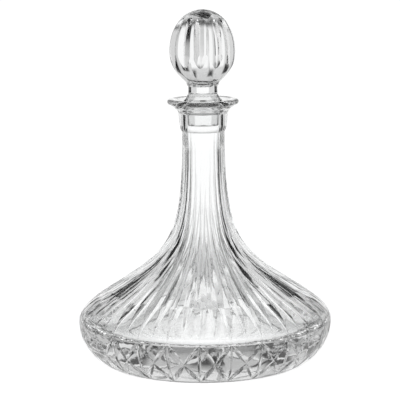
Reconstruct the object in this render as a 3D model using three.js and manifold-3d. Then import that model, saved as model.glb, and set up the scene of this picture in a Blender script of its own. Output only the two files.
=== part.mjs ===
// Cut-glass ship's decanter with a ball stopper.
// Millimetres, +Z up, origin at the middle of the foot. The front faces -Y.

import * as THREE from 'three';
import { mergeVertices } from 'three/addons/utils/BufferGeometryUtils.js';
import Module from 'manifold-3d';

const wasm = await Module();
wasm.setup();

// Driving dimensions of the body
const FOOT_RADIUS = 75.8;
const FOOT_RING_WIDTH = 18;
const FOOT_HOLLOW = 1.2;
const WIDEST = { radius: 95.1, height: 31.3 };
const SHOULDER = { radius: 65.4, height: 58.3 };
const NECK_RADIUS = 15.9;
const COLLAR = { base: 173.5, radius: 18, top: 186.5 };
const LIP = { radius: 26.6, height: 197.3, thickness: 4.2 };

// The hollow inside: a wall that follows the outside, and a bore up the neck. The floor is very
// thick, because the heavy foot keeps the decanter upright on a moving table.
const FLOOR = 28.4;
const FLOOR_RIM = { radius: 72, rise: 4.6 };
const WALL = 4.9;
const BORE_RADIUS = 11.4;
const SOCKET = { radius: 13.4, base: 170 };
const SEAT = { radius: 14.8, height: 194.4 };
const HOLLOW_COLUMNS = 48;

// The stopper, with the clearance that lets it lift out
const CLEARANCE = 0.3;
const PLUG = { base: 178, radius: 11.5, step: 186, edge: 1.6 };
const FLANGE = { radius: 14.5, height: 197 };
const WAIST = { radius: 10.9, base: 201, top: 206.6 };
const BALL = { radius: 24.6, base: 209.2, widest: 232.5, top: 263.3 };

// The body's cuts: long leaves up the shoulder and neck, short ones between their feet, and a
// band of crossing leaves from the widest line down to the foot
const FLUTES = 26;
const FIRST_FLUTE = THREE.MathUtils.degToRad(-2.63);
const FLUTE_SLOPE = { shoulder: 0.34, collar: 0.04, fadeStart: 70, fadeEnd: 165 };
const NODE_HEIGHT = 32.5;
const STAR_HEIGHT = 17.2;
const FOOT_NODE_HEIGHT = 1.5;
const LONG_LEAF_OPENING = 0.15;
const SHORT_LEAF = { tip: 36.5, top: 92, share: 0.44, opening: 0.13 };
const BAND = { slope: 0.65, halfWidth: 1.8, uprightHalfWidth: 1.2, slantSpread: 1.25 };
const TINY_TURN = 1e-6;

// The ball's own cuts
const BALL_FLUTES = 12;
const FIRST_BALL_FLUTE = THREE.MathUtils.degToRad(-4.5);
const BALL_CUT = { slope: 0.29, tip: 221, top: 258, share: 0.85 };

const GLASS = { color: 0xf4f7f7, roughness: 0.04, metalness: 0, transparent: true, opacity: 0.35 };

const smooth = THREE.MathUtils.smoothstep;

// Outlines, as radius and height

const at = (radius, height) => new THREE.Vector2(radius, height);
const bezier = (...points) => new THREE.CubicBezierCurve(...points);

function curvePath(...curves) {
  const path = new THREE.CurvePath();
  curves.forEach((curve) => path.add(curve));
  return path;
}

// From the edge of the foot, out to the widest line, over the shoulder and up the neck
const outside = curvePath(
  bezier(at(FOOT_RADIUS, 0), at(84.5, 4.7), at(WIDEST.radius, 14.4), at(WIDEST.radius, WIDEST.height)),
  bezier(
    at(WIDEST.radius, WIDEST.height),
    at(WIDEST.radius, 38.5),
    at(86.6, 44.8),
    at(SHOULDER.radius, SHOULDER.height),
  ),
  bezier(
    at(SHOULDER.radius, SHOULDER.height),
    at(25.5, 84.4),
    at(NECK_RADIUS, 93.9),
    at(NECK_RADIUS, COLLAR.base - 0.5),
  ),
);

// The same line a wall further in, from the rim of the floor to the bore
const wallRadius = WIDEST.radius - WALL;
const wallShoulder = at(SHOULDER.radius - 0.53 * WALL, SHOULDER.height - 0.82 * WALL);
const floorRim = at(wallRadius, FLOOR + FLOOR_RIM.rise);
const inside = curvePath(
  bezier(at(FLOOR_RIM.radius, FLOOR), at(86, FLOOR + 0.1), at(90.1, FLOOR + 1.2), floorRim),
  bezier(floorRim, at(90.3, 37), at(83, 41.4), wallShoulder),
  bezier(wallShoulder, at(24, 79.3), at(BORE_RADIUS, 89), at(BORE_RADIUS, 152)),
);

// Up the ball from the ring round the waist to the top
const ball = curvePath(
  bezier(at(12.2, BALL.base), at(13.6, 211.5), at(BALL.radius, 218), at(BALL.radius, BALL.widest)),
  bezier(at(BALL.radius, BALL.widest), at(BALL.radius, 250), at(14.5, BALL.top), at(0, BALL.top)),
);

// Where a rising outline reaches a height, as a share of its length
function shareAtHeight(outline, height) {
  let low = 0;
  let high = 1;
  for (let i = 0; i < 40; i++) {
    const middle = (low + high) / 2;
    if (outline.getPoint(middle).y < height) low = middle;
    else high = middle;
  }
  return (low + high) / 2;
}

// A row of the outside surface: its radius, height and outward normal, at a given height
function rowAtHeight(outline, height) {
  const share = shareAtHeight(outline, height);
  const { x: radius, y } = outline.getPoint(share);
  const tangent = outline.getTangent(share);
  return { radius, height: y, normal: at(tangent.y, -tangent.x), length: share * outline.getLength() };
}

// A row on a plain turned stretch, which no cut touches
const plainRow = (point) => ({ radius: point.x, height: point.y, normal: at(1, 0), length: 0 });

// Solids

// A closed mesh as a solid that can be cut. Triangles whose corners have met are dropped.
function solidOf(geometry) {
  geometry.deleteAttribute('normal');
  geometry.deleteAttribute('uv');
  const merged = mergeVertices(geometry, 1e-3);
  const index = merged.index.array;
  const triangles = [];
  for (let i = 0; i < index.length; i += 3) {
    const [a, b, c] = [index[i], index[i + 1], index[i + 2]];
    if (a !== b && b !== c && c !== a) triangles.push(a, b, c);
  }
  return new wasm.Manifold(new wasm.Mesh({
    numProp: 3,
    vertProperties: new Float32Array(merged.attributes.position.array),
    triVerts: new Uint32Array(triangles),
  }));
}

// A plain solid of revolution
function turned(points, columns) {
  return solidOf(new THREE.LatheGeometry(points, columns).rotateX(Math.PI / 2));
}

// A cut solid of revolution. Each row gives the stations of one half pitch, from the middle of a
// flute to the middle of the land beside it. A station has a turn from 0 to 0.5 of the pitch and a
// depth below the surface. The other half mirrors it, and the pitch repeats round the axis.
function cutSolid(rows, count, firstAngle) {
  const pitch = (2 * Math.PI) / count;
  const stations = rows[0].stations.length;
  const columns = 2 * (stations - 1);
  const points = [];
  for (const { radius, height, normal, stations: half } of rows) {
    const back = half.slice(1, -1).reverse().map(({ turn, depth }) => ({ turn: 1 - turn, depth }));
    for (let flute = 0; flute < count; flute++) {
      for (const { turn, depth } of [...half, ...back]) {
        const angle = firstAngle + pitch * (flute + turn);
        const reach = radius - normal.x * depth;
        const z = height - normal.y * depth;
        points.push(new THREE.Vector3(reach * Math.sin(angle), -reach * Math.cos(angle), z));
      }
    }
  }
  const around = count * columns;
  const triangles = [];
  for (let row = 0; row + 1 < rows.length; row++) {
    for (let i = 0; i < around; i++) {
      const next = (i + 1) % around;
      const [a, b] = [row * around + i, row * around + next];
      const [c, d] = [a + around, b + around];
      if (i % columns < stations - 1) triangles.push(a, b, c, b, d, c);
      else triangles.push(a, b, d, a, d, c);
    }
  }
  const geometry = new THREE.BufferGeometry().setFromPoints(points);
  geometry.setIndex(triangles);
  return solidOf(geometry);
}

// The body's cuts

// A V cut of a given half width, sunk so that its edges just reach the round surface
function cutDepth(halfWidth, slope, row) {
  const across = Math.max(row.normal.x, 0) / row.radius;
  return slope * halfWidth + (halfWidth * halfWidth * across) / 2;
}

// Above the widest line: a long leaf at turn 0 and a short leaf at turn 0.5. From the middle of
// the long leaf, the stations are its valley, its edge, the short leaf's edge and its valley.
const nodeLength = rowAtHeight(outside, NODE_HEIGHT).length;
const shortTipLength = rowAtHeight(outside, SHORT_LEAF.tip).length;

// The facets are steep on the shoulder, and nearly flat panels under the collar
function fluteSlope(height) {
  const { shoulder, collar, fadeStart, fadeEnd } = FLUTE_SLOPE;
  return THREE.MathUtils.lerp(shoulder, collar, smooth(height, fadeStart, fadeEnd));
}

function shoulderStations(row) {
  const halfPitch = (Math.PI * row.radius) / FLUTES;
  const shortShare = SHORT_LEAF.share * (1 - smooth(row.height, 62, SHORT_LEAF.top));
  const long = Math.min(
    (1 - shortShare) * halfPitch,
    LONG_LEAF_OPENING * (row.length - nodeLength),
  );
  const short = Math.min(
    shortShare * halfPitch,
    SHORT_LEAF.opening * Math.max(row.length - shortTipLength, 0),
  );
  const longEdge = (0.5 * long) / halfPitch;
  const shortEdge = 0.5 - (0.5 * short) / halfPitch;
  const edge = { turn: longEdge, depth: 0 };
  const slope = fluteSlope(row.height);
  return [
    { turn: 0, depth: cutDepth(long, slope, row) },
    edge, edge, edge, edge,
    { turn: shortEdge, depth: 0 },
    { turn: 0.5, depth: cutDepth(short, slope, row) },
  ];
}

// Below the widest line: an upright leaf at turn 0, and a slanting leaf that runs from the node
// at turn 0 to the star at turn 0.5, and back to turn 0 at the foot. The stations are the upright
// leaf's valley and edge, and the slanting leaf's lower edge, valley and upper edge. Near a node
// the two leaves cut into each other, and meet in a crest below the surface.
function bandStations(row) {
  const halfPitch = (Math.PI * row.radius) / FLUTES;
  const leafAt = (height, from, to) => {
    const t = THREE.MathUtils.clamp((height - from) / (to - from), 0, 1);
    return { t, swell: 4 * t * (1 - t) };
  };
  const upright = leafAt(row.height, FOOT_NODE_HEIGHT, NODE_HEIGHT);
  const above = row.height > STAR_HEIGHT;
  const slanting = above
    ? leafAt(row.height, NODE_HEIGHT, STAR_HEIGHT)
    : leafAt(row.height, FOOT_NODE_HEIGHT, STAR_HEIGHT);
  const uprightHalf = BAND.uprightHalfWidth * upright.swell;
  const slantHalf = BAND.halfWidth * slanting.swell;
  // The row crosses the slanting leaf at an angle, so its edges lie further apart along the row
  const spread = Math.max((0.5 * BAND.slantSpread * slantHalf) / halfPitch, TINY_TURN);
  const uprightSpread = Math.max((0.5 * uprightHalf) / halfPitch, TINY_TURN);
  const centre = 0.5 * slanting.t;
  const valley = cutDepth(slantHalf, BAND.slope, row);
  let uprightValley = cutDepth(uprightHalf, BAND.slope, row);
  let near = { turn: uprightSpread, depth: 0 };
  let far = { turn: centre - spread, depth: 0 };
  if (near.turn > far.turn) {
    const fall = uprightValley / uprightSpread;
    const rise = valley / spread;
    let turn = (uprightValley - valley + rise * centre) / Math.max(fall + rise, TINY_TURN);
    if (turn <= 0) {
      turn = 0;
      uprightValley = Math.max(valley - rise * centre, 0);
    }
    near = { turn, depth: Math.max(uprightValley - fall * turn, 0) };
    far = near;
  }
  const over = centre + spread > 0.5;
  const middle = { turn: 0.5, depth: over ? valley * (1 - (0.5 - centre) / spread) : 0 };
  const rim = over ? middle : { turn: centre + spread, depth: 0 };
  return [
    { turn: 0, depth: uprightValley },
    near,
    far,
    { turn: centre, depth: valley },
    rim,
    middle,
    middle,
  ];
}

// A round row keeps two columns to each pitch
const roundStations = [0, 0, 0, 0, 0, 0.5, 0.5].map((turn) => ({ turn, depth: 0 }));

// Heights from one to another, drawn together towards either end by a power
function heights(from, to, steps, power = 1) {
  return Array.from({ length: steps + 1 }, (_, i) => from + (to - from) * (i / steps) ** power);
}

// The rounded edge of the lip, from underneath to the top
function lipBead() {
  const half = LIP.thickness / 2;
  return Array.from({ length: 7 }, (_, i) => {
    const angle = -Math.PI / 2 + (i * Math.PI) / 6;
    return at(LIP.radius - half + half * Math.cos(angle), LIP.height - half + half * Math.sin(angle));
  });
}

function bodyBlank() {
  const foot = [
    at(0, FOOT_HOLLOW),
    at((FOOT_RADIUS - FOOT_RING_WIDTH) * 0.96, FOOT_HOLLOW),
    at(FOOT_RADIUS - FOOT_RING_WIDTH, 0),
    at(FOOT_RADIUS, 0),
  ];
  const collar = new THREE.QuadraticBezierCurve(
    at(NECK_RADIUS + 0.7, COLLAR.base + 0.3),
    at(COLLAR.radius, COLLAR.base + 5),
    at(COLLAR.radius + 0.3, COLLAR.top),
  );
  const top = [
    ...collar.getPoints(4),
    at(COLLAR.radius + 1.1, COLLAR.top + 1.8),
    at(LIP.radius - 5.4, COLLAR.top + 4.2),
    ...lipBead(),
    at(0, LIP.height),
  ];
  const band = [
    ...heights(FOOT_NODE_HEIGHT, STAR_HEIGHT, 4, 1.2),
    ...heights(STAR_HEIGHT, NODE_HEIGHT, 4).slice(1),
  ];
  const shoulder = [
    ...heights(NODE_HEIGHT, SHORT_LEAF.tip, 2).slice(1),
    ...heights(SHORT_LEAF.tip, SHOULDER.height, 6).slice(1),
    ...heights(SHOULDER.height, SHORT_LEAF.top, 6).slice(1),
    ...heights(SHORT_LEAF.top, COLLAR.base - 0.6, 6, 1.4).slice(1),
  ];
  const cutRow = (stationsOf) => (height) => {
    const row = rowAtHeight(outside, height);
    return { ...row, stations: stationsOf(row) };
  };
  const roundRow = (point) => ({ ...plainRow(point), stations: roundStations });
  const rows = [
    ...foot.map(roundRow),
    ...band.map(cutRow(bandStations)),
    ...shoulder.map(cutRow(shoulderStations)),
    ...top.map(roundRow),
  ];
  return cutSolid(rows, FLUTES, FIRST_FLUTE);
}

function hollow() {
  return turned([
    at(0, FLOOR),
    ...inside.getPoints(8),
    at(BORE_RADIUS, 158),
    at(SOCKET.radius - 0.1, SOCKET.base),
    at(SOCKET.radius, SEAT.height - 1.4),
    at(SEAT.radius, SEAT.height),
    at(LIP.radius - LIP.thickness / 2, LIP.height + 0.3),
    at(0, LIP.height + 1),
  ], HOLLOW_COLUMNS);
}

// The stopper: a plug, a flange that sits in the mouth, a waist and a cut ball

function ballStations(row) {
  const halfPitch = (Math.PI * row.radius) / BALL_FLUTES;
  const { tip, top } = BALL_CUT;
  const foot = Math.sqrt(THREE.MathUtils.clamp((row.height - tip) / 9, 0, 1));
  const head = Math.sqrt(THREE.MathUtils.clamp((top - row.height) / 3, 0, 1));
  const half = BALL_CUT.share * halfPitch * foot * head;
  return [
    { turn: 0, depth: cutDepth(half, BALL_CUT.slope, row) },
    { turn: (0.5 * half) / halfPitch, depth: 0 },
    { turn: 0.5, depth: 0 },
  ];
}

function stopper() {
  const roundBallStations = [0, 0.25, 0.5].map((turn) => ({ turn, depth: 0 }));
  const flare = new THREE.QuadraticBezierCurve(
    at(FLANGE.radius - 1, FLANGE.height),
    at(WAIST.radius + 0.9, FLANGE.height + 1.2),
    at(WAIST.radius + 0.5, WAIST.base - 0.5),
  );
  const stem = [
    at(0, PLUG.base),
    at(PLUG.radius - PLUG.edge, PLUG.base),
    at(PLUG.radius - 0.3 * PLUG.edge, PLUG.base + 0.3 * PLUG.edge),
    at(PLUG.radius, PLUG.base + PLUG.edge),
    at(PLUG.radius + 0.2, PLUG.step),
    at(SOCKET.radius - CLEARANCE - 0.2, PLUG.step + 0.8),
    at(SOCKET.radius - CLEARANCE, SEAT.height - 1.2),
    at(FLANGE.radius, SEAT.height + 0.4),
    at(FLANGE.radius - 0.2, FLANGE.height - 0.8),
    ...flare.getPoints(4),
    at(WAIST.radius, WAIST.base),
    at(WAIST.radius, WAIST.top),
    at(WAIST.radius + 0.8, WAIST.top + 0.9),
    at(12.2, BALL.base),
  ];
  const under = heights(BALL.base + 2, BALL_CUT.tip, 3);
  const cut = [
    ...heights(BALL_CUT.tip, BALL_CUT.tip + 9, 3, 1.6).slice(1),
    ...heights(BALL_CUT.tip + 9, 250, 4).slice(1),
    ...heights(250, BALL_CUT.top, 4, 0.8).slice(1),
  ];
  const rows = [
    ...stem.map((point) => ({ ...plainRow(point), stations: roundBallStations })),
    ...under.map((height) => ({ ...rowAtHeight(ball, height), stations: roundBallStations })),
    ...cut.map((height) => {
      const row = rowAtHeight(ball, height);
      return { ...row, stations: ballStations(row) };
    }),
    { ...rowAtHeight(ball, BALL.top - 1), stations: roundBallStations },
    { ...plainRow(at(0, BALL.top)), stations: roundBallStations },
  ];
  return cutSolid(rows, BALL_FLUTES, FIRST_BALL_FLUTE);
}

// The finished model

function meshOf(name, solid) {
  const { vertProperties, triVerts } = solid.getMesh();
  const geometry = new THREE.BufferGeometry();
  geometry.setAttribute('position', new THREE.BufferAttribute(vertProperties, 3));
  geometry.setIndex(new THREE.BufferAttribute(triVerts, 1));
  geometry.computeVertexNormals();
  const mesh = new THREE.Mesh(geometry, new THREE.MeshStandardMaterial(GLASS));
  mesh.name = name;
  return mesh;
}

const decanter = new THREE.Group();
decanter.add(meshOf('decanter_body', bodyBlank().subtract(hollow())));
decanter.add(meshOf('stopper', stopper()));

export default decanter;
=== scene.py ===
# %% [markdown]
# A cut-glass ship's decanter, with its ball stopper.
# The two pieces of glass already exist as a plain measured model, the frame. This lesson
# gives them the fine cut surface, the clear material and the studio light of real glass.
# Everything is in metres, +Z is up, and the front of the decanter faces -Y.

# %% Load the frame
import math

import bmesh
import bpy
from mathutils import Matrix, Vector


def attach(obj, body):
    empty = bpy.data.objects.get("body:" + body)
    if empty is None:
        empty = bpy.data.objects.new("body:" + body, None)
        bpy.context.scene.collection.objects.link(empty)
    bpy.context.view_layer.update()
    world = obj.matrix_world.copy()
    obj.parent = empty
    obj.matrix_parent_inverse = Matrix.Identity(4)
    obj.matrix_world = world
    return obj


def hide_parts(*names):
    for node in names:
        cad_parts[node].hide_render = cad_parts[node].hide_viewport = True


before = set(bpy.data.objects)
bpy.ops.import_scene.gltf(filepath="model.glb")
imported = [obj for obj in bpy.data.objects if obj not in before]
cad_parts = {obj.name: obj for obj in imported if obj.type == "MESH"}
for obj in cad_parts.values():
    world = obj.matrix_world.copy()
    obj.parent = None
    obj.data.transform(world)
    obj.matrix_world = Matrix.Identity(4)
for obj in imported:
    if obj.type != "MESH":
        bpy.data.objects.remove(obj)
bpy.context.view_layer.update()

scene = bpy.context.scene
MM = 0.001
print("frame pieces:", sorted(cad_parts))

# %% [markdown]
# The camera comes first, because every later choice is checked through it.
# The picture was taken from about 1.25 m away and a little above the stopper, looking down by
# nine degrees. A long lens keeps the foot and the ball nearly true to each other in size.
# The camera also leans by half a degree, so the decanter stands a hair off upright.

# %% Camera
CAMERA_DISTANCE = 1250 * MM
CAMERA_HEIGHT = 317.4 * MM
CAMERA_DIP = math.radians(8.93)
CAMERA_LEAN = math.radians(-0.56)
SENSOR_WIDTH = 36                   # in millimetres, as lenses are
FOCAL_PIXELS = 1687.5
PICTURE_SIDE = 400
AXIS_PIXEL = 203.9                  # the picture's column that the decanter's axis falls on


def add_camera():
    data = bpy.data.cameras.new("studio_camera")
    data.sensor_width = SENSOR_WIDTH
    data.lens = SENSOR_WIDTH * FOCAL_PIXELS / PICTURE_SIDE
    data.shift_x = (PICTURE_SIDE / 2 - AXIS_PIXEL) / PICTURE_SIDE
    camera = bpy.data.objects.new("studio_camera", data)
    scene.collection.objects.link(camera)
    camera.location = (0, -CAMERA_DISTANCE, CAMERA_HEIGHT)
    camera.rotation_euler = (math.pi / 2 - CAMERA_DIP, 0, 0)
    camera.rotation_euler.rotate_axis("Z", CAMERA_LEAN)
    scene.camera = camera
    return camera


camera = add_camera()
print("lens in millimetres:", round(camera.data.lens, 1))

# %% [markdown]
# Glass shows every flat spot, so the outlines are drawn again as smooth curves. They are the same
# curves that the plain model is turned from: Bezier curves through a few measured radii and
# heights. A curve is kept as a fine polyline, which can then be asked for its radius, its outward
# normal and the length along the wall at any height.

# %% Outlines
WIDEST_RADIUS = 95.1 * MM
WIDEST_HEIGHT = 31.3 * MM
SHOULDER_RADIUS = 65.4 * MM
SHOULDER_HEIGHT = 58.3 * MM
FOOT_RADIUS = 75.8 * MM
NECK_RADIUS = 15.9 * MM
NECK_TOP = 173 * MM
FLOOR = 28.4 * MM
INNER_RADIUS = 90.2 * MM
INNER_HEIGHT = 33 * MM
INNER_SHOULDER = (62.8 * MM, 54.3 * MM)
BORE_RADIUS = 11.4 * MM
BORE_TOP = 152 * MM


def bezier(points, steps=80):
    """Points along a Bezier curve of any degree, from its control points."""
    line = []
    for i in range(steps + 1):
        layer = [Vector(p) for p in points]
        while len(layer) > 1:
            layer = [a.lerp(b, i / steps) for a, b in zip(layer, layer[1:])]
        line.append(layer[0])
    return line


def joined(*lines):
    """One polyline from several that meet end to end."""
    whole = list(lines[0])
    for line in lines[1:]:
        whole.extend(line[1:])
    return whole


def mm(*pairs):
    """Points given as radius and height in millimetres, turned into metres."""
    return [Vector((radius * MM, height * MM)) for radius, height in pairs]


class Outline:
    """A rising outline of radius and height."""

    def __init__(self, points):
        self.points = points
        self.lengths = [0.0]
        for a, b in zip(points, points[1:]):
            self.lengths.append(self.lengths[-1] + (b - a).length)

    def at_length(self, length):
        """Radius, height and outward normal at a length along the line."""
        length = min(max(length, 0.0), self.lengths[-1])
        i = 1
        while i < len(self.lengths) - 1 and self.lengths[i] < length:
            i += 1
        share = (length - self.lengths[i - 1]) / (self.lengths[i] - self.lengths[i - 1])
        a, b = self.points[i - 1], self.points[i]
        point = a.lerp(b, share)
        before = self.points[max(i - 2, 0)]
        after = self.points[min(i + 1, len(self.points) - 1)]
        along = (b - before).normalized().lerp((after - a).normalized(), share).normalized()
        return point.x, point.y, Vector((along.y, -along.x))

    def length_at_height(self, height):
        for i in range(1, len(self.points)):
            if self.points[i].y >= height:
                a, b = self.points[i - 1], self.points[i]
                share = (height - a.y) / max(b.y - a.y, 1e-9)
                return self.lengths[i - 1] + share * (self.lengths[i] - self.lengths[i - 1])
        return self.lengths[-1]


outside = Outline(joined(
    bezier([(FOOT_RADIUS, 0), (84.5 * MM, 4.7 * MM), (WIDEST_RADIUS, 14.4 * MM),
            (WIDEST_RADIUS, WIDEST_HEIGHT)]),
    bezier([(WIDEST_RADIUS, WIDEST_HEIGHT), (WIDEST_RADIUS, 38.5 * MM), (86.6 * MM, 44.8 * MM),
            (SHOULDER_RADIUS, SHOULDER_HEIGHT)]),
    bezier([(SHOULDER_RADIUS, SHOULDER_HEIGHT), (25.5 * MM, 84.4 * MM), (NECK_RADIUS, 93.9 * MM),
            (NECK_RADIUS, NECK_TOP)]),
))
inside = Outline(joined(
    bezier([(72 * MM, FLOOR), (86 * MM, 28.5 * MM), (90.1 * MM, 29.6 * MM),
            (INNER_RADIUS, INNER_HEIGHT)]),
    bezier([(INNER_RADIUS, INNER_HEIGHT), (90.3 * MM, 37 * MM), (83 * MM, 41.4 * MM),
            INNER_SHOULDER]),
    bezier([INNER_SHOULDER, (24 * MM, 79.3 * MM), (BORE_RADIUS, 89 * MM),
            (BORE_RADIUS, BORE_TOP)]),
))
print("outside outline, mm:", round(outside.lengths[-1] / MM, 1))

# %% [markdown]
# The body carries one pattern 26 times: a long leaf-shaped V cut that climbs from the widest line
# to the collar, a short leaf beside it, and a lattice of smaller leaves down to the foot. A leaf
# has two flat facets that meet in a valley, so a smooth subdivision surface would melt it. Here
# each height gives a row of stations across half a pitch: valley, edge, land, edge, valley. The
# facets between them stay flat, and where a cut tapers out its stations simply fall together.

# %% The rule of the cuts
FLUTES = 26
FIRST_FLUTE = math.radians(-2.63)
NODE_HEIGHT = 32.5 * MM
STAR_HEIGHT = 17.2 * MM
FOOT_NODE_HEIGHT = 1.5 * MM
LONG_OPENING = 0.15                 # growth of a long leaf's half width along the wall
SHORT_OPENING = 0.13
SHORT_TIP = 36.5 * MM
SHORT_SHARE = 0.44                  # of the half pitch, until the short leaf starts to close
SHORT_CLOSES = (62 * MM, 92 * MM)
FLUTE_SLOPE = 0.34                  # fall of a facet towards its valley, on the shoulder
FLUTE_FLATTENS = 0.3                # how much of that is gone at the top of the neck
FLUTE_FLATTENS_OVER = (70 * MM, 165 * MM)
BAND_SLOPE = 0.65
SLANT_HALF_WIDTH = 1.8 * MM
SLANT_STRETCH = 1.25                # a slanted cut is wider when measured along a level row
UPRIGHT_HALF_WIDTH = 1.2 * MM
LEAST_REACH = 1e-6                  # keeps a cut that has closed from being divided by zero


def smooth(value, low, high):
    t = min(max((value - low) / (high - low), 0.0), 1.0)
    return t * t * (3 - 2 * t)


def swell(value, start, end):
    """How far along a leaf a height lies, and the leaf's width there as a share of its widest."""
    t = min(max((value - start) / (end - start), 0.0), 1.0)
    return t, 4 * t * (1 - t)


def flute_slope(height):
    """The facets are steep on the shoulder and nearly flat panels under the collar."""
    return FLUTE_SLOPE - FLUTE_FLATTENS * smooth(height, *FLUTE_FLATTENS_OVER)


def cut_depth(half_width, slope, radius, normal):
    """How deep a V is sunk for its edges to reach the round surface."""
    return slope * half_width + half_width ** 2 * max(normal.x, 0) / (2 * radius)


NODE_LENGTH = outside.length_at_height(NODE_HEIGHT)
SHORT_TIP_LENGTH = outside.length_at_height(SHORT_TIP)


def shoulder_stations(length):
    """A long leaf at one side of the half pitch, a short one at the other, and land between."""
    radius, height, normal = outside.at_length(length)
    half_pitch = math.pi * radius / FLUTES
    share = SHORT_SHARE * (1 - smooth(height, *SHORT_CLOSES))
    slope = flute_slope(height)
    long = min((1 - share) * half_pitch, LONG_OPENING * max(length - NODE_LENGTH, 0))
    short = min(share * half_pitch, SHORT_OPENING * max(length - SHORT_TIP_LENGTH, 0))
    long_edge = 0.5 * long / half_pitch
    short_edge = 0.5 - 0.5 * short / half_pitch
    return [
        (0, cut_depth(long, slope, radius, normal)),
        (long_edge, 0), (long_edge, 0), (long_edge, 0), (long_edge, 0),
        (short_edge, 0),
        (0.5, cut_depth(short, slope, radius, normal)),
    ]


def band_stations(length):
    """An upright cut at one side, and a slanted one that crosses the half pitch as it climbs."""
    radius, height, normal = outside.at_length(length)
    half_pitch = math.pi * radius / FLUTES
    _, upright_swell = swell(height, FOOT_NODE_HEIGHT, NODE_HEIGHT)
    start = NODE_HEIGHT if height > STAR_HEIGHT else FOOT_NODE_HEIGHT
    along, slant_swell = swell(height, start, STAR_HEIGHT)
    upright = UPRIGHT_HALF_WIDTH * upright_swell
    slant = SLANT_HALF_WIDTH * slant_swell
    upright_reach = max(0.5 * upright / half_pitch, LEAST_REACH)
    reach = max(0.5 * SLANT_STRETCH * slant / half_pitch, LEAST_REACH)
    centre = 0.5 * along
    upright_valley = cut_depth(upright, BAND_SLOPE, radius, normal)
    valley = cut_depth(slant, BAND_SLOPE, radius, normal)
    low, high = (upright_reach, 0), (centre - reach, 0)
    if low[0] > high[0]:
        # The two cuts overlap, so their facets meet in a crest below the round surface.
        fall, rise = upright_valley / upright_reach, valley / reach
        crest = (upright_valley - valley + rise * centre) / max(fall + rise, 1e-9)
        if crest <= 0:
            crest, upright_valley = 0, max(valley - rise * centre, 0)
        low = high = (crest, max(upright_valley - fall * crest, 0) if crest else upright_valley)
    far = (0.5, valley * (1 - (0.5 - centre) / reach)) if centre + reach > 0.5 else (0.5, 0)
    rim = far if centre + reach > 0.5 else (centre + reach, 0)
    return [(0, upright_valley), low, high, (centre, valley), rim, far, far]


print("nodes lie", round(NODE_LENGTH / MM, 1), "mm up the wall from the foot")

# %% [markdown]
# One pitch is built as a thin slice of the whole wall: outside and inside, foot and lip,
# like one slice of an orange. Building all 26 by hand would hide the rule in a heap of numbers,
# so Geometry Nodes repeats the slice round the axis later.
# Between two stations the strip is either a flat facet or part of the round surface, and round
# strips are divided further, so that the lip and the lands don't look like polygons.

# %% Turning rows of stations into a slice
ROUND_STEPS = 3
CORNERS_MEET = 1e-6                 # corners closer than this have met
SLIVER = 1e-7                       # an edge shorter than this is no edge


def slice_row(point, normal, stations, facets, pitch):
    """One row of a slice, from the middle of one cut to the middle of the next."""
    half = []
    for (turn_a, depth_a), (turn_b, depth_b), flat in zip(stations, stations[1:], facets):
        steps = 1 if flat else ROUND_STEPS
        for i in range(steps):
            half.append((turn_a + (turn_b - turn_a) * i / steps,
                         depth_a + (depth_b - depth_a) * i / steps))
    half.append(stations[-1])
    row = []
    for turn, depth in half + [(1 - turn, depth) for turn, depth in reversed(half[:-1])]:
        reach = point[0] - normal.x * depth
        angle = pitch * turn
        height = point[1] - normal.y * depth
        row.append((reach * math.sin(angle), -reach * math.cos(angle), height))
    return row


def slice_mesh(name, rows):
    """A mesh of triangles between rows, with the corners that have met merged."""
    made = bmesh.new()
    grid = [[made.verts.new(point) for point in row] for row in rows]
    for lower, upper in zip(grid, grid[1:]):
        middle = len(lower) // 2
        for i in range(len(lower) - 1):
            a, b, c, d = lower[i], lower[i + 1], upper[i + 1], upper[i]
            if i < middle:
                made.faces.new((a, b, d))
                made.faces.new((b, c, d))
            else:
                made.faces.new((a, b, c))
                made.faces.new((a, c, d))
    bmesh.ops.remove_doubles(made, verts=made.verts, dist=CORNERS_MEET)
    bmesh.ops.dissolve_degenerate(made, edges=made.edges, dist=SLIVER)
    mesh = bpy.data.meshes.new(name)
    made.to_mesh(mesh)
    made.free()
    return mesh


# %% [markdown]
# A row runs once across the slice, and the rows follow the whole section in one line: under the
# foot, up the cut outside, over the lip and down the inside to the floor. Both ends of that line
# lie on the axis, so the glass is closed. An open edge would let light in without bending it.

# %% Rows of the body
FACETS = (True, False, True, True, False, True)
PLAIN_STATIONS = [(0, 0), (0, 0), (0.25, 0), (0.25, 0), (0.25, 0), (0.5, 0), (0.5, 0)]
SIDEWAYS = Vector((1, 0))
FOOT_RING_WIDTH = 18 * MM
FOOT_HOLLOW = 1.2 * MM
FOOT_HOLLOW_ROWS = (0, 0.4, 0.8, 0.96)
FOOT_HOLLOW_EDGE = 0.985
FOOT_EDGE = mm((75.0, 0), (75.8, 0.15))
BAND_ROWS = (18, 20)
SHOULDER_ROWS = 40
NECK_ROWS = 70
COLLAR = mm((16.1, 173.3), (17.2, 174.2), (18.0, 178.5), (18.3, 186.5))
UNDER_LIP = mm((18.3, 186.5), (18.8, 188.2), (21.0, 190.8), (24.5, 193.1))
LIP_RADIUS = 26.6 * MM
LIP_TOP = 197.3 * MM
LIP_THICKNESS = 4.2 * MM
MOUTH = mm((24.5, 197.3), (20, 197.0), (14.9, 194.8), (13.4, 191.5))
SOCKET = mm((13.4, 188), (13.4, 184), (13.4, 180), (13.4, 176))
SOCKET_FOOT = mm((13.3, 170), (13.2, 166), (11.4, 162), (11.4, 156))
INSIDE_STRIDE = 5                   # every fifth point of the inside outline gets a row
FLOOR_RINGS = (54, 40, 20, 0)


def spread(start, end, steps):
    return [start + (end - start) * i / steps for i in range(steps + 1)]


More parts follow.
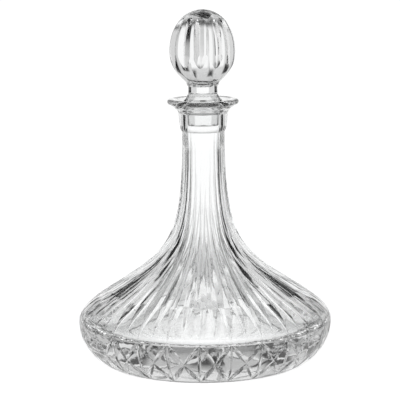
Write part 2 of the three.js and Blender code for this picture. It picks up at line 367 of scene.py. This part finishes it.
def arc(centre, radius, start, end, steps):
    """Points on an arc of the outline, with angles in degrees from level."""
    return [Vector((centre[0] + radius * math.cos(math.radians(angle)),
                    centre[1] + radius * math.sin(math.radians(angle))))
            for angle in spread(start, end, steps)]


def body_rows():
    """Rows from the middle of the foot to the middle of the floor."""
    pitch = 2 * math.pi / FLUTES
    rows = []

    def plain(points):
        rows.extend(slice_row(p, SIDEWAYS, PLAIN_STATIONS, FACETS, pitch) for p in points)

    def cut(lengths, stations_of):
        for length in lengths:
            radius, height, normal = outside.at_length(length)
            rows.append(slice_row((radius, height), normal, stations_of(length), FACETS, pitch))

    ring = FOOT_RADIUS - FOOT_RING_WIDTH
    plain([Vector((ring * share, FOOT_HOLLOW)) for share in FOOT_HOLLOW_ROWS])
    plain([Vector((ring * FOOT_HOLLOW_EDGE, FOOT_HOLLOW / 2)), Vector((ring, 0))])
    plain(FOOT_EDGE)
    foot = outside.length_at_height(FOOT_NODE_HEIGHT)
    star = outside.length_at_height(STAR_HEIGHT)
    shoulder = outside.length_at_height(SHOULDER_HEIGHT)
    top = outside.lengths[-1]
    cut(spread(foot, star, BAND_ROWS[0]), band_stations)
    cut(spread(star, NODE_LENGTH, BAND_ROWS[1])[1:], band_stations)
    cut(spread(NODE_LENGTH, shoulder, SHOULDER_ROWS)[1:], shoulder_stations)
    cut(spread(shoulder, top, NECK_ROWS)[1:], shoulder_stations)
    plain(bezier(COLLAR, steps=14))
    plain(bezier(UNDER_LIP, steps=14)[1:])
    bead = (LIP_RADIUS - LIP_THICKNESS / 2, LIP_TOP - LIP_THICKNESS / 2)
    plain(arc(bead, LIP_THICKNESS / 2, start=-90, end=90, steps=20)[1:])
    plain(bezier(MOUTH, steps=12)[1:])
    plain(SOCKET)
    plain(bezier(SOCKET_FOOT, steps=8))
    plain(inside.points[::-INSIDE_STRIDE])
    plain([Vector((radius * MM, FLOOR)) for radius in FLOOR_RINGS])
    return rows


body_slice = slice_mesh("body_slice", body_rows())
print("body slice triangles:", len(body_slice.polygons))

# %% [markdown]
# A small node tree turns a slice into the whole piece. It lays one point for each copy on the
# axis, puts the slice on every point with a turn that grows by a full circle divided by the
# count, makes the copies real and welds the seams where neighbours meet. The same tree serves
# the body with 26 slices and the ball with 12, because the count is an input.

# %% Ring of slices
WELD_DISTANCE = 2e-6                # across the seam of two slices


def add_input(tree, name, kind, default):
    socket = tree.interface.new_socket(name, in_out="INPUT", socket_type=kind)
    if default is not None:
        socket.default_value = default
    return socket


def ring_tree():
    tree = bpy.data.node_groups.new("ring_of_slices", "GeometryNodeTree")
    add_input(tree, "Slice", "NodeSocketGeometry", None)
    add_input(tree, "Count", "NodeSocketInt", FLUTES)
    add_input(tree, "First Angle", "NodeSocketFloat", 0.0)
    add_input(tree, "Weld Distance", "NodeSocketFloat", WELD_DISTANCE)
    add_input(tree, "Glass", "NodeSocketMaterial", None)
    tree.interface.new_socket("Piece", in_out="OUTPUT", socket_type="NodeSocketGeometry")
    node = tree.nodes.new
    link = tree.links.new
    given = node("NodeGroupInput")
    points = node("GeometryNodePoints")
    place = node("GeometryNodeInstanceOnPoints")
    index = node("GeometryNodeInputIndex")
    step = node("ShaderNodeMath")
    step.operation = "DIVIDE"
    step.inputs[0].default_value = 2 * math.pi
    turn = node("ShaderNodeMath")
    turn.operation = "MULTIPLY_ADD"
    spin = node("ShaderNodeCombineXYZ")
    real = node("GeometryNodeRealizeInstances")
    weld = node("GeometryNodeMergeByDistance")
    finish = node("GeometryNodeSetMaterial")
    out = node("NodeGroupOutput")
    link(given.outputs["Count"], points.inputs["Count"])
    link(given.outputs["Count"], step.inputs[1])
    link(index.outputs["Index"], turn.inputs[0])
    link(step.outputs[0], turn.inputs[1])
    link(given.outputs["First Angle"], turn.inputs[2])
    link(turn.outputs[0], spin.inputs["Z"])
    link(points.outputs[0], place.inputs["Points"])
    link(given.outputs["Slice"], place.inputs["Instance"])
    link(spin.outputs[0], place.inputs["Rotation"])
    link(place.outputs[0], real.inputs[0])
    link(real.outputs[0], weld.inputs["Geometry"])
    link(given.outputs["Weld Distance"], weld.inputs["Distance"])
    link(weld.outputs[0], finish.inputs["Geometry"])
    link(given.outputs["Glass"], finish.inputs["Material"])
    link(finish.outputs[0], out.inputs["Piece"])
    return tree


def set_input(modifier, name, value):
    for item in modifier.node_group.interface.items_tree:
        if item.item_type == "SOCKET" and item.in_out == "INPUT" and item.name == name:
            modifier[item.identifier] = value


def ring_piece(name, slice_of, count, first_angle, glass):
    """The slice repeated round the axis, as a plain mesh."""
    slice_of.materials.append(glass)
    piece = bpy.data.objects.new(name, slice_of)
    scene.collection.objects.link(piece)
    modifier = piece.modifiers.new("ring", "NODES")
    modifier.node_group = rings
    set_input(modifier, "Count", count)
    set_input(modifier, "First Angle", first_angle)
    set_input(modifier, "Glass", glass)
    ready = piece.evaluated_get(bpy.context.evaluated_depsgraph_get())
    mesh = bpy.data.meshes.new_from_object(ready)
    piece.modifiers.clear()
    piece.data = mesh
    mesh.name = name
    return piece


rings = ring_tree()
print("inputs:", [item.name for item in rings.interface.items_tree if item.in_out == "INPUT"])

# %% [markdown]
# Clear glass is a Principled surface with full transmission and the index of refraction of
# ordinary crystal. What tells it from a computer's perfect glass is the skin: it has cooled in a
# mould, so it is wavy by a few hundredths of a millimetre. Two layers of noise, one broad and one
# fine, bend the normal by that little. They read Object coordinates, so they stay on the glass.
# Thick glass also swallows a little light. A weak grey absorption inside takes a quarter of it in
# 120 mm, so the heavy foot and the ball read darker than the thin neck.

# %% Glass
GLASS_INDEX = 1.52
GLASS_TINT = (0.985, 0.99, 0.99, 1)
GLASS_LOSS = 2.4                    # per metre of glass
FINE_SCALE = 5                      # fine waves are this many times smaller than broad ones
FINE_SHARE = 0.15


def clear_glass(name, broad_scale, wave_height):
    material = bpy.data.materials.new(name)
    material.use_nodes = True
    nodes, link = material.node_tree.nodes, material.node_tree.links.new
    skin = nodes["Principled BSDF"]
    skin.inputs["Base Color"].default_value = GLASS_TINT
    skin.inputs["Transmission Weight"].default_value = 1.0
    skin.inputs["IOR"].default_value = GLASS_INDEX
    skin.inputs["Roughness"].default_value = 0.0
    place = nodes.new("ShaderNodeTexCoord")
    broad = nodes.new("ShaderNodeTexNoise")
    broad.inputs["Scale"].default_value = broad_scale
    broad.inputs["Detail"].default_value = 1.0
    fine = nodes.new("ShaderNodeTexNoise")
    fine.inputs["Scale"].default_value = broad_scale * FINE_SCALE
    fine.inputs["Detail"].default_value = 0.0
    both = nodes.new("ShaderNodeMath")
    both.operation = "MULTIPLY_ADD"
    both.inputs[1].default_value = FINE_SHARE
    waves = nodes.new("ShaderNodeBump")
    waves.inputs["Strength"].default_value = 1.0
    waves.inputs["Distance"].default_value = wave_height
    link(place.outputs["Object"], broad.inputs["Vector"])
    link(place.outputs["Object"], fine.inputs["Vector"])
    link(fine.outputs[0], both.inputs[0])
    link(broad.outputs[0], both.inputs[2])
    link(both.outputs[0], waves.inputs["Height"])
    link(waves.outputs["Normal"], skin.inputs["Normal"])
    loss = nodes.new("ShaderNodeVolumeAbsorption")
    loss.inputs["Color"].default_value = (0, 0, 0, 1)
    loss.inputs["Density"].default_value = GLASS_LOSS
    link(loss.outputs[0], nodes["Material Output"].inputs["Volume"])
    return material


body_glass = clear_glass("body_glass", broad_scale=45, wave_height=0.12 * MM)
stopper_glass = clear_glass("stopper_glass", broad_scale=60, wave_height=0.05 * MM)
print("index of refraction:", GLASS_INDEX)
print("light left after 120 mm of glass:", round(math.exp(-GLASS_LOSS * 120 * MM), 2))

# %% [markdown]
# Now the pieces can be made. Edges that turn by more than nine degrees are the valleys and ridges
# of the cuts and stay crisp, and the rest is shaded smooth. Each piece takes the place of its
# plain model and rides on the same moving body, so it still lifts as that one does. Two numbers
# are worth a look each time: a closed piece has no open edge, and its volume gives its weight.

# %% Body
SHARP_ANGLE = math.radians(9)


def cut_glass(piece):
    """Facets stay crisp at the valleys and ridges, and everything rounder is shaded smooth."""
    piece.data.shade_smooth()
    piece.data.set_sharp_from_angle(angle=SHARP_ANGLE)
    return piece


def open_edges_and_volume(piece):
    """The number of edges without two faces, and the volume in cubic centimetres."""
    check = bmesh.new()
    check.from_mesh(piece.data)
    open_edges = sum(1 for edge in check.edges if len(edge.link_faces) != 2)
    volume = check.calc_volume(signed=True) * 1e6
    check.free()
    return open_edges, round(volume, 1)


decanter_glass = cut_glass(
    ring_piece("decanter_glass", body_slice, FLUTES, FIRST_FLUTE, body_glass))
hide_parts("decanter_body")
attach(decanter_glass, "vessel")
print("body triangles:", len(decanter_glass.data.polygons),
      "open edges and volume:", open_edges_and_volume(decanter_glass))

# %% [markdown]
# The stopper is one solid lump of glass. Its plug and waist are plain turned forms, and its ball
# has twelve V cuts from near the top to a pointed foot below the widest line. It is made by the
# same two steps: rows of stations for one pitch, and the ring of slices.

# %% Stopper
BALL_FLUTES = 12
FIRST_BALL_FLUTE = math.radians(-4.5)
BALL_CUT_TIP = 221 * MM
BALL_CUT_TOP = 258 * MM
BALL_TIP_LENGTH = 9 * MM            # a cut grows to its full width over this much height
BALL_TOP_LENGTH = 3 * MM            # and closes again over this much
BALL_SLOPE = 0.29
BALL_SHARE = 0.85
BALL_FACETS = (True, False, False)
BALL_PLAIN = [(0, 0), (0, 0), (0.25, 0), (0.5, 0)]
BALL_ROWS = (8, 50, 6)              # below the cuts, along them and above them
PLUG_END = mm((0, 178), (5, 178), (9.9, 178))
PLUG_EDGE = (9.9 * MM, 179.6 * MM)
PLUG_EDGE_RADIUS = 1.6 * MM
PLUG_SIDE = mm((11.7, 186), (12.9, 186.8), (13.1, 188), (13.1, 190), (13.1, 193.2))
FLANGE = mm((13.4, 193.6), (14.5, 194.6), (14.7, 195.4), (14.3, 196.2))
WAIST_FOOT = mm((13.5, 197), (11.8, 198.2), (11.4, 200.5))
WAIST = mm((10.9, 201), (10.9, 203.8), (10.9, 206.6), (11.7, 207.5))

ball = Outline(joined(
    bezier(mm((12.2, 209.2), (13.6, 211.5), (24.6, 218), (24.6, 232.5))),
    bezier(mm((24.6, 232.5), (24.6, 250), (14.5, 263.3), (0, 263.3))),
))


def ball_stations(length):
    """One V cut, which comes to a rounded point at its foot, and the land beside it."""
    radius, height, normal = ball.at_length(length)
    half_pitch = math.pi * radius / BALL_FLUTES
    foot = math.sqrt(min(max((height - BALL_CUT_TIP) / BALL_TIP_LENGTH, 0), 1))
    head = math.sqrt(min(max((BALL_CUT_TOP - height) / BALL_TOP_LENGTH, 0), 1))
    half = BALL_SHARE * half_pitch * foot * head
    edge = 0.5 * half / half_pitch
    depth = cut_depth(half, BALL_SLOPE, radius, normal)
    return [(0, depth), (edge, 0), ((edge + 0.5) / 2, 0), (0.5, 0)]


def plain_ball_stations(length):
    return BALL_PLAIN


def stopper_rows():
    """Rows from the middle of the plug's end, over the flange and the waist, up to the crown."""
    pitch = 2 * math.pi / BALL_FLUTES
    rows = []

    def plain(points):
        rows.extend(slice_row(p, SIDEWAYS, BALL_PLAIN, BALL_FACETS, pitch) for p in points)

    def along_ball(lengths, stations_of):
        for length in lengths:
            radius, height, normal = ball.at_length(length)
            stations = stations_of(length)
            rows.append(slice_row((radius, height), normal, stations, BALL_FACETS, pitch))

    plain(PLUG_END)
    plain(arc(PLUG_EDGE, PLUG_EDGE_RADIUS, start=-90, end=0, steps=6)[1:])
    plain(PLUG_SIDE)
    plain(bezier(FLANGE, steps=5))
    plain(bezier(WAIST_FOOT, steps=8))
    plain(WAIST)
    tip = ball.length_at_height(BALL_CUT_TIP)
    top = ball.length_at_height(BALL_CUT_TOP)
    along_ball(spread(0, tip, BALL_ROWS[0])[:-1], plain_ball_stations)
    along_ball(spread(tip, top, BALL_ROWS[1]), ball_stations)
    along_ball(spread(top, ball.lengths[-1], BALL_ROWS[2])[1:], plain_ball_stations)
    return rows


stopper_slice = slice_mesh("stopper_slice", stopper_rows())
stopper_piece = cut_glass(
    ring_piece("stopper_glass", stopper_slice, BALL_FLUTES, FIRST_BALL_FLUTE, stopper_glass))
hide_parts("stopper")
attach(stopper_piece, "stopper")
print("stopper triangles:", len(stopper_piece.data.polygons),
      "open edges and volume:", open_edges_and_volume(stopper_piece))

# %% [markdown]
# The decanter stands on a matt white table. Only the part that the glass shades has to be real:
# further out the table melts into the white studio, so there is no edge and no horizon, either
# behind the decanter or upside down in its ball. Seen straight from the camera it is lit from
# within, as white as the backdrop, and the faint shadow of the glass is all that is left on it.
# Seen through the glass it glows, because that is where the floor and the lower cuts get their
# light from. This glow is painted light, a painted pool of light that stands in for the light the
# glass gathers onto the table. The painted glow is strongest under the middle of the foot and
# weaker under its rim, so the floor of the hollow stays soft. Round the foot it is stronger towards
# the camera than behind.

# %% Table
TABLE_FULL = 150 * MM
TABLE_END = 420 * MM
TABLE_GAP = 0.05 * MM
TABLE_SIDES = 96
TABLE_WHITE = 0.8
GLOW_SEEN = 0.85
# Painted light: the table's glow seen through the glass, brighter under the foot and in front.
PAINTED_GLOW_MIDDLE, PAINTED_GLOW_RIM = 1.35, 0.7
PAINTED_GLOW_FADES = (40 * MM, 76 * MM)     # from the middle of the foot to its rim
PAINTED_GLOW_FRONT, PAINTED_GLOW_BEHIND = 1.2, 0.55
PAINTED_GLOW_TURNS = (-60 * MM, 90 * MM)    # from the camera's side of the foot to behind it
PAINTED_GLOW_FOOT_EDGE = (74 * MM, 84 * MM)     # where the painted glow under the foot gives way to the painted glow round it


class Maths:
    """Short words for the maths nodes of one node tree."""

    def __init__(self, tree):
        self.nodes = tree.nodes
        self.link = tree.links.new

    def calculate(self, operation, *values):
        node = self.nodes.new("ShaderNodeMath")
        node.operation = operation
        for i, value in enumerate(values):
            if isinstance(value, (int, float)):
                node.inputs[i].default_value = value
            else:
                self.link(value, node.inputs[i])
        return node.outputs[0]

    def ramp(self, value, low, high, from_level, to_level):
        """A soft step from one level to another."""
        node = self.nodes.new("ShaderNodeMapRange")
        node.interpolation_type = "SMOOTHSTEP"
        self.link(value, node.inputs["Value"])
        node.inputs["From Min"].default_value = low
        node.inputs["From Max"].default_value = high
        node.inputs["To Min"].default_value = from_level
        node.inputs["To Max"].default_value = to_level
        return node.outputs["Result"]


def white_table():
    made = bmesh.new()
    bmesh.ops.create_circle(made, cap_ends=True, segments=TABLE_SIDES, radius=TABLE_END)
    mesh = bpy.data.meshes.new("white_table")
    made.to_mesh(mesh)
    made.free()
    for vertex in mesh.vertices:
        vertex.co.z = -TABLE_GAP
    table = bpy.data.objects.new("white_table", mesh)
    scene.collection.objects.link(table)
    material = bpy.data.materials.new("table_white_and_painted_glow")
    material.use_nodes = True
    nodes, link = material.node_tree.nodes, material.node_tree.links.new
    maths = Maths(material.node_tree)
    place = nodes.new("ShaderNodeTexCoord")
    length = nodes.new("ShaderNodeVectorMath")
    length.operation = "LENGTH"
    split = nodes.new("ShaderNodeSeparateXYZ")
    link(place.outputs["Object"], length.inputs[0])
    link(place.outputs["Object"], split.inputs[0])
    reach, depth = length.outputs["Value"], split.outputs["Y"]
    paint = nodes["Principled BSDF"]
    paint.inputs["Base Color"].default_value = (TABLE_WHITE, TABLE_WHITE, TABLE_WHITE, 1)
    paint.inputs["Roughness"].default_value = 1.0
    paint.inputs["Specular IOR Level"].default_value = 0.0
    paint.inputs["Emission Color"].default_value = (1, 1, 1, 1)
    rays = nodes.new("ShaderNodeLightPath")
    mirrored, passed = rays.outputs["Is Glossy Ray"], rays.outputs["Is Transmission Ray"]
    bent = maths.calculate("MAXIMUM", mirrored, passed)
    # Painted light: a pool of glow under and round the foot, for rays that come through or off the
    # glass.
    painted_glow_under = maths.calculate("MULTIPLY", maths.ramp(reach, *PAINTED_GLOW_FADES, PAINTED_GLOW_MIDDLE, PAINTED_GLOW_RIM),
                            maths.ramp(reach, *PAINTED_GLOW_FOOT_EDGE, 1.0, 0.0))
    painted_glow_beside = maths.calculate("MULTIPLY", maths.ramp(depth, *PAINTED_GLOW_TURNS, PAINTED_GLOW_FRONT, PAINTED_GLOW_BEHIND),
                             maths.ramp(reach, *PAINTED_GLOW_FOOT_EDGE, 0.0, 1.0))
    painted_glow = maths.calculate("MULTIPLY", maths.calculate("ADD", painted_glow_under, painted_glow_beside), bent)
    seen = maths.calculate("MULTIPLY", rays.outputs["Is Camera Ray"], GLOW_SEEN)
    link(maths.calculate("ADD", painted_glow, seen), paint.inputs["Emission Strength"])
    clear = nodes.new("ShaderNodeBsdfTransparent")
    both = nodes.new("ShaderNodeMixShader")
    link(maths.ramp(reach, TABLE_FULL, TABLE_END, 0.0, 1.0), both.inputs[0])
    link(paint.outputs[0], both.inputs[1])
    link(clear.outputs[0], both.inputs[2])
    link(both.outputs[0], nodes["Material Output"].inputs["Surface"])
    mesh.materials.append(material)
    return table


table = white_table()
print(table.name, "fades out over", round((TABLE_END - TABLE_FULL) / MM), "mm")

# %% [markdown]
# Clear glass has no colour of its own: it shows what is round it, bent. In front of an even white
# it would vanish, so a photographer also gives it something dark to bend. Behind the decanter
# stands a wide white field with a brighter sweep in its middle. It ends in a hard dark edge 40
# degrees out, which draws the thin outlines of the neck and its bore, and low down at its foot,
# which darkens the top of the ball, because a ball shows the world upside down. Black flags hang
# in front of the field a little above level. The two at the sides put dark streaks on the
# shoulder, and the narrow one in the middle darkens the cuts above the foot. A soft ceiling and
# a white card on the camera's side fill what would go black. The world holds that whole studio
# as a rule of two angles, the turn away from straight behind the glass and the climb above
# level, which gives soft light without a grain.

# %% Studio
# Angles are in degrees. A pair gives where an edge starts and where it is complete.
SWEEP = {"turn": (16, 22), "climb": (8, 18), "level": 1.06}
FIELD = {"turn": (40, 44), "climb": (56, 62), "level": 0.7}
FIELD_FOOT = (-37, -25)
FROM_THE_MIDDLE = (-2, -1)          # below every turn, so a flag that starts here has no gap
FLAGS = (
    {"turn": ((18, 22), (30, 34)), "climb": ((6, 9), (22, 27))},
    {"turn": (FROM_THE_MIDDLE, (3, 7)), "climb": ((11, 17), (26, 32))},
)
CEILING = {"turn": (80, 120), "climb": (60, 68), "level": 0.35, "front_share": 0.2}
FRONT = {"turn": (72, 88), "climb": (24, 36), "level": 1.0}
BOUNCES = 32
MIRROR_BOUNCES = 16


def studio_world():
    """The studio as one brightness for each direction, all of it fixed to the world."""
    world = bpy.data.worlds.new("studio")
    scene.world = world
    world.use_nodes = True
    nodes, link = world.node_tree.nodes, world.node_tree.links.new
    sky = nodes["Background"]
    sky.inputs["Color"].default_value = (1, 1, 1, 1)
    maths = Maths(world.node_tree)

    def angle_ramp(angle, span, from_level, to_level):
        return maths.ramp(angle, math.radians(span[0]), math.radians(span[1]), from_level, to_level)

    place = nodes.new("ShaderNodeTexCoord")
    split = nodes.new("ShaderNodeSeparateXYZ")
    link(place.outputs["Generated"], split.inputs[0])
    side, depth, up = split.outputs
    turn = maths.calculate("ABSOLUTE", maths.calculate("ARCTAN2", side, depth))
    climb = maths.calculate("ARCSINE", up)

    def times(first, second):
        return maths.calculate("MULTIPLY", first, second)

    def white_area(light):
        wide = angle_ramp(turn, light["turn"], light["level"], 0.0)
        wide = times(wide, angle_ramp(climb, FIELD_FOOT, 0.0, 1.0))
        return times(wide, angle_ramp(climb, light["climb"], 1.0, 0.0))

    field = white_area(FIELD)
    for flag in FLAGS:
        black = 1.0
        for angle, (start, end) in ((turn, flag["turn"]), (climb, flag["climb"])):
            black = times(angle_ramp(angle, start, 0.0, 1.0), black)
            black = times(angle_ramp(angle, end, 1.0, 0.0), black)
        field = times(field, maths.calculate("SUBTRACT", 1.0, black))
    ceiling = times(angle_ramp(climb, CEILING["climb"], 0.0, CEILING["level"]),
                    angle_ramp(turn, CEILING["turn"], 1.0, CEILING["front_share"]))
    front = times(angle_ramp(turn, FRONT["turn"], 0.0, FRONT["level"]),
                  angle_ramp(climb, FRONT["climb"], 1.0, 0.0))
    rays = nodes.new("ShaderNodeLightPath")
    level = rays.outputs["Is Camera Ray"]
    for light in (white_area(SWEEP), field, ceiling, front):
        level = maths.calculate("MAXIMUM", light, level)
    link(level, sky.inputs["Strength"])
    return world


world = studio_world()
scene.view_settings.view_transform = "Standard"
scene.cycles.max_bounces = BOUNCES
scene.cycles.transmission_bounces = BOUNCES
scene.cycles.glossy_bounces = MIRROR_BOUNCES
print(world.name, "has", len(world.node_tree.nodes), "nodes")
